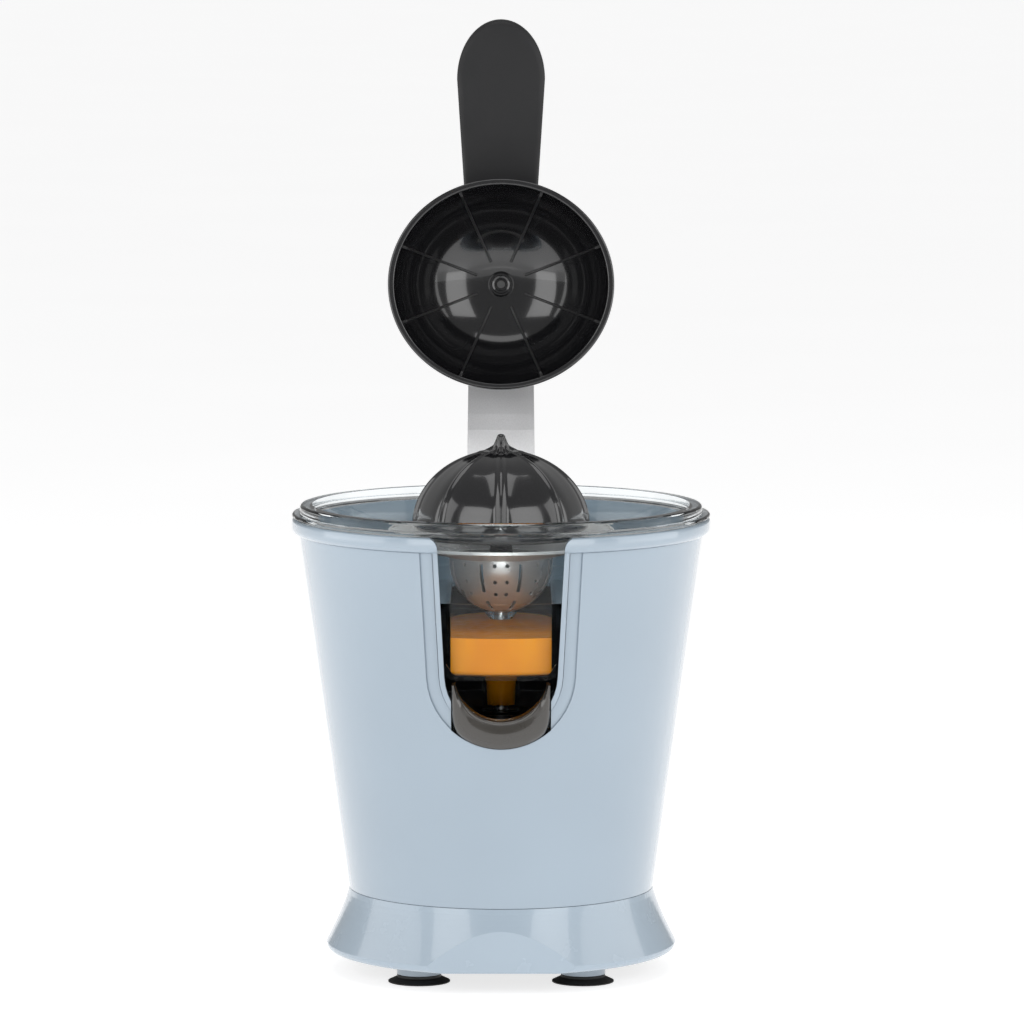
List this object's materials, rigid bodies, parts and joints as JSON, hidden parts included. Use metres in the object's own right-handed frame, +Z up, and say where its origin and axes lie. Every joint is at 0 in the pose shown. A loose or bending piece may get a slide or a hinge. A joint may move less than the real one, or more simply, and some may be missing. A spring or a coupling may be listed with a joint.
{
  "type": "citrus press juicer",
  "caption": "Electric citrus juicer with a geared reamer, steel strainer, clear lift-out juice container and a hinged lever arm carrying an oval press dome.",
  "frame": {"origin": "on the reamer's axis at the surface that the juicer stands on", "axes": "+Z up along the reamer's axis, +Y towards the hinge at the back, +X to the right seen from the front"},
  "size_m": [0.19, 0.2747, 0.428],
  "materials": {
    "body_blue": "gloss",
    "skirt_blue": "gloss",
    "black_plastic": "gloss",
    "matte_black": "matte",
    "handle_grey": "matte",
    "rubber": "matte",
    "steel": "brushed",
    "silver": "satin",
    "clear_plastic": "clear",
    "smoked_plastic": "clear",
    "brass": "satin",
    "copper": "satin",
    "nylon": "satin",
    "red_plastic": "gloss"
  },
  "bodies": {
    "housing": {"outer_shell": "body_blue", "rim_liner": "body_blue", "base_skirt": "skirt_blue", "bottom_plate": "matte_black", "foot_collars": "body_blue", "suction_cups": "rubber", "foot_screws": "steel", "base_screws": "steel", "cord_gland": "rubber", "motor_deck": "black_plastic", "shaft_seal": "rubber", "pour_spout": "smoked_plastic", "hinge_bracket": "silver", "bracket_screws": "steel", "hinge_pin": "steel", "pin_caps": "matte_black", "gearbox_base": "matte_black", "gearbox_cover": "matte_black", "gearbox_screws": "steel", "output_bushes": "brass", "idler_axle": "steel", "motor_stator": "steel", "field_coils": "copper", "upper_bridge": "silver", "lower_bridge": "silver", "motor_bearings": "brass", "motor_screws": "steel", "motor_spacers": "steel", "motor_grommets": "rubber", "brush_holders": "matte_black", "return_spring": "steel", "switch_bracket": "matte_black", "micro_switch": "matte_black", "terminal_block": "nylon"},
    "output_drive": {"output_gear": "nylon"},
    "idler": {"idler_gear": "nylon"},
    "rotor": {"pinion_gear": "brass", "rotor_shaft": "steel", "rotor_core": "copper", "commutator": "copper", "cooling_fan": "matte_black"},
    "press_shaft": {"drive_shaft": "steel", "shaft_collar": "steel"},
    "start_button": {"switch_button": "red_plastic"},
    "container": {"juice_container": "clear_plastic"},
    "strainer": {"strainer": "steel"},
    "hub": {"drive_hub": "matte_black"},
    "reamer": {"reamer": "black_plastic"},
    "arm": {"arm_frame": "silver", "arm_cover": "matte_black", "press_dome": "black_plastic", "dome_seat": "rubber", "dome_screw": "steel", "handle": "handle_grey", "handle_screws": "steel"}
  },
  "joints": [
    {"name": "output_spin", "type": "hinge", "parent": "housing", "child": "output_drive", "pos_m": [0, 0, 0.095], "axis": [0, 0, 1], "continuous": true},
    {"name": "idler_spin", "type": "hinge", "parent": "housing", "child": "idler", "pos_m": [0, 0.031, 0.09], "axis": [0, 0, 1], "continuous": true},
    {"name": "rotor_spin", "type": "hinge", "parent": "housing", "child": "rotor", "pos_m": [-0.02078, 0.019, 0.05], "axis": [0, 0, 1], "continuous": true},
    {"name": "shaft_press", "type": "slide", "parent": "output_drive", "child": "press_shaft", "axis": [0, 0, 1], "range_m": [-0.002, 0], "stiffness_N_per_m": 2500, "springref_m": 0.004, "deforming": ["return_spring"]},
    {"name": "button_travel", "type": "slide", "parent": "housing", "child": "start_button", "axis": [0, 0, 1], "range_m": [-0.002, 0]},
    {"name": "container_lift", "type": "slide", "parent": "housing", "child": "container", "axis": [0, 0, 1], "range_m": [0, 0.06]},
    {"name": "strainer_lift", "type": "slide", "parent": "container", "child": "strainer", "axis": [0, 0, 1], "range_m": [0, 0.05]},
    {"name": "hub_lift", "type": "slide", "parent": "press_shaft", "child": "hub", "axis": [0, 0, 1], "range_m": [0, 0.06]},
    {"name": "reamer_lift", "type": "slide", "parent": "hub", "child": "reamer", "axis": [0, 0, 1], "range_m": [0, 0.075]},
    {"name": "arm_hinge", "type": "hinge", "parent": "housing", "child": "arm", "pos_m": [0, 0.104, 0.2016], "axis": [-1, 0, 0], "range_deg": [-94, 0]}
  ],
  "couplings": [
    {"joint": "output_spin", "follows": "rotor_spin", "ratio": 0.06},
    {"joint": "idler_spin", "follows": "rotor_spin", "ratio": -0.25},
    {"joint": "button_travel", "follows": "shaft_press", "ratio": 1},
    {"joint": "hub_lift", "follows": "container_lift", "ratio": 1},
    {"joint": "reamer_lift", "follows": "strainer_lift", "ratio": 1.5}
  ]
}
